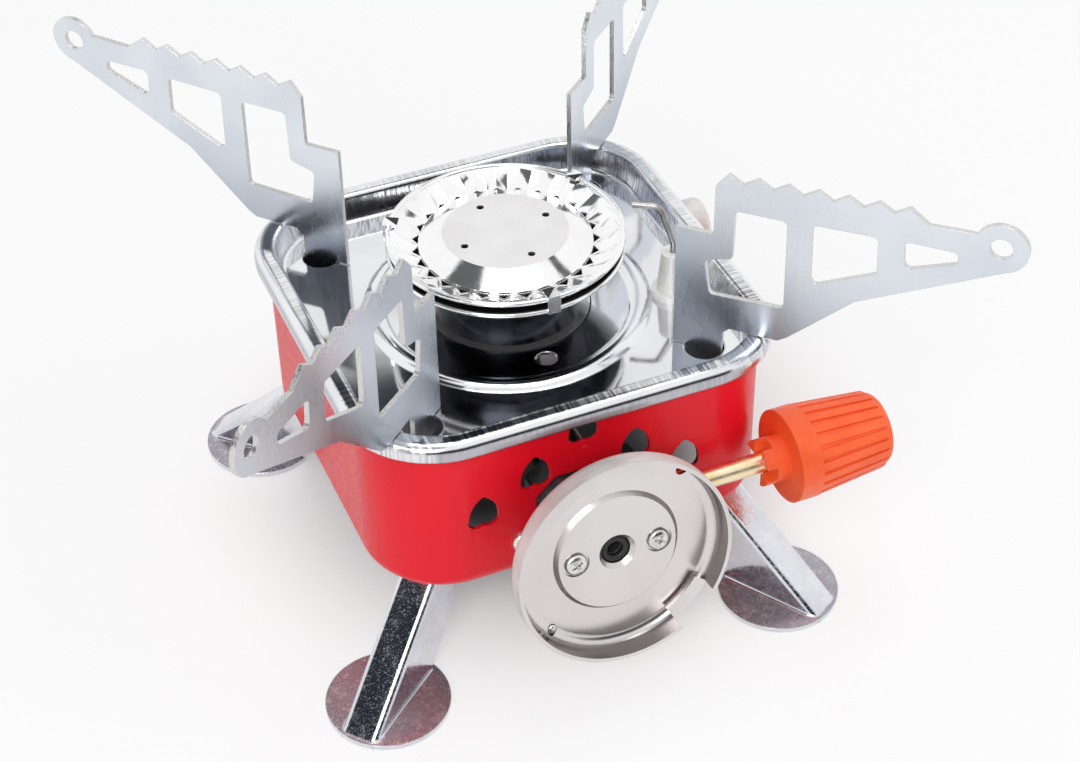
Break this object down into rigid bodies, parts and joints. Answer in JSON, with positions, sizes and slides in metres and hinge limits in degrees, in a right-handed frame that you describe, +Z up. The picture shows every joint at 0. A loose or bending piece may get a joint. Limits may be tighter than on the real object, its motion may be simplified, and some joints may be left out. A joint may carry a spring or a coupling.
{
  "type": "camping gas stove",
  "caption": "Square folding camping gas stove with a fluted burner, swinging pot supports and legs, side knob and a cup for a butane cartridge.",
  "frame": {"origin": "on the ground under the burner axis, which is the middle of the footprint", "axes": "+Z up, +X to the right along the front face, -Y to the front where the cartridge cup is"},
  "size_m": [0.1485, 0.1464, 0.0999],
  "materials": {
    "red_paint": "glossy red stove paint over steel",
    "tray_plating": "bright nickel plate with fine draw marks",
    "burner_steel": "polished stainless pressing",
    "tube_steel": "drawn steel tube",
    "support_zinc": "satin blue-white zinc plate",
    "leg_steel": "bright rolled sheet, scuffed",
    "cup_steel": "satin stainless pressing",
    "valve_casting": "dark die casting",
    "brass": "turned brass",
    "knob_plastic": "satin orange moulding",
    "fastener_zinc": "zinc-plated steel",
    "seal_rubber": "black rubber",
    "igniter_plastic": "pale grey moulding",
    "button_plastic": "pale grey moulding",
    "ceramic": "glazed white ceramic",
    "electrode_steel": "bent steel wire",
    "lead_rubber": "silicone-covered lead"
  },
  "bodies": {
    "stove_body": {"housing": "red_paint", "tray": "tray_plating", "burner_base": "burner_steel", "burner_pan": "burner_steel", "flame_ring": "burner_steel", "burner_cap": "burner_steel", "mixing_tube": "tube_steel", "lock_nut": "fastener_zinc", "valve_body": "valve_casting", "gas_jet": "brass", "cartridge_cup": "cup_steel", "cup_screws": "fastener_zinc", "inlet_seal": "seal_rubber", "valve_screws": "fastener_zinc", "gland_nut": "brass", "leg_rivets": "fastener_zinc", "igniter_body": "igniter_plastic", "igniter_nut": "fastener_zinc", "electrode_insulator": "ceramic", "electrode_wire": "electrode_steel", "ignition_lead": "lead_rubber"},
    "knob": {"knob": "knob_plastic", "spindle": "brass"},
    "igniter_button": {"igniter_button": "button_plastic"},
    "support_front_left": {"pot_support_front_left": "support_zinc"},
    "support_front_right": {"pot_support_front_right": "support_zinc"},
    "support_back_right": {"pot_support_back_right": "support_zinc"},
    "support_back_left": {"pot_support_back_left": "support_zinc"},
    "leg_front_left": {"leg_front_left": "leg_steel"},
    "leg_front_right": {"leg_front_right": "leg_steel"},
    "leg_back_right": {"leg_back_right": "leg_steel"},
    "leg_back_left": {"leg_back_left": "leg_steel"}
  },
  "joints": [
    {"name": "support_front_left_swing", "type": "hinge", "parent": "stove_body", "child": "support_front_left", "pos_m": [-0.0294, -0.0294, 0.0564], "axis": [0, 0, -1], "range_deg": [-4, 131]},
    {"name": "support_front_right_swing", "type": "hinge", "parent": "stove_body", "child": "support_front_right", "pos_m": [0.0294, -0.0294, 0.0564], "axis": [0, 0, -1], "range_deg": [-1, 134]},
    {"name": "support_back_right_swing", "type": "hinge", "parent": "stove_body", "child": "support_back_right", "pos_m": [0.0294, 0.0294, 0.0564], "axis": [0, 0, -1], "range_deg": [-3.5, 131.5]},
    {"name": "support_back_left_swing", "type": "hinge", "parent": "stove_body", "child": "support_back_left", "pos_m": [-0.0294, 0.0294, 0.0564], "axis": [0, 0, -1], "range_deg": [-3.5, 131.5]},
    {"name": "leg_front_left_swing", "type": "hinge", "parent": "stove_body", "child": "leg_front_left", "pos_m": [-0.03182, -0.03182, 0.0222], "axis": [0, 0, 1], "range_deg": [0, 180]},
    {"name": "leg_front_right_swing", "type": "hinge", "parent": "stove_body", "child": "leg_front_right", "pos_m": [0.03182, -0.03182, 0.0222], "axis": [0, 0, 1], "range_deg": [0, 180]},
    {"name": "leg_back_right_swing", "type": "hinge", "parent": "stove_body", "child": "leg_back_right", "pos_m": [0.03182, 0.03182, 0.0222], "axis": [0, 0, 1], "range_deg": [0, 180]},
    {"name": "leg_back_left_swing", "type": "hinge", "parent": "stove_body", "child": "leg_back_left", "pos_m": [-0.03182, 0.03182, 0.0222], "axis": [0, 0, 1], "range_deg": [0, 180]},
    {"name": "knob_turn", "type": "hinge", "parent": "stove_body", "child": "knob", "pos_m": [0, -0.046, 0.0379], "axis": [1, 0, 0], "range_deg": [0, 540]},
    {"name": "igniter_press", "type": "slide", "parent": "stove_body", "child": "igniter_button", "axis": [-1, 0, 0], "range_m": [0, 0.004], "stiffness_N_per_m": 1500, "springref_m": -0.002}
  ]
}
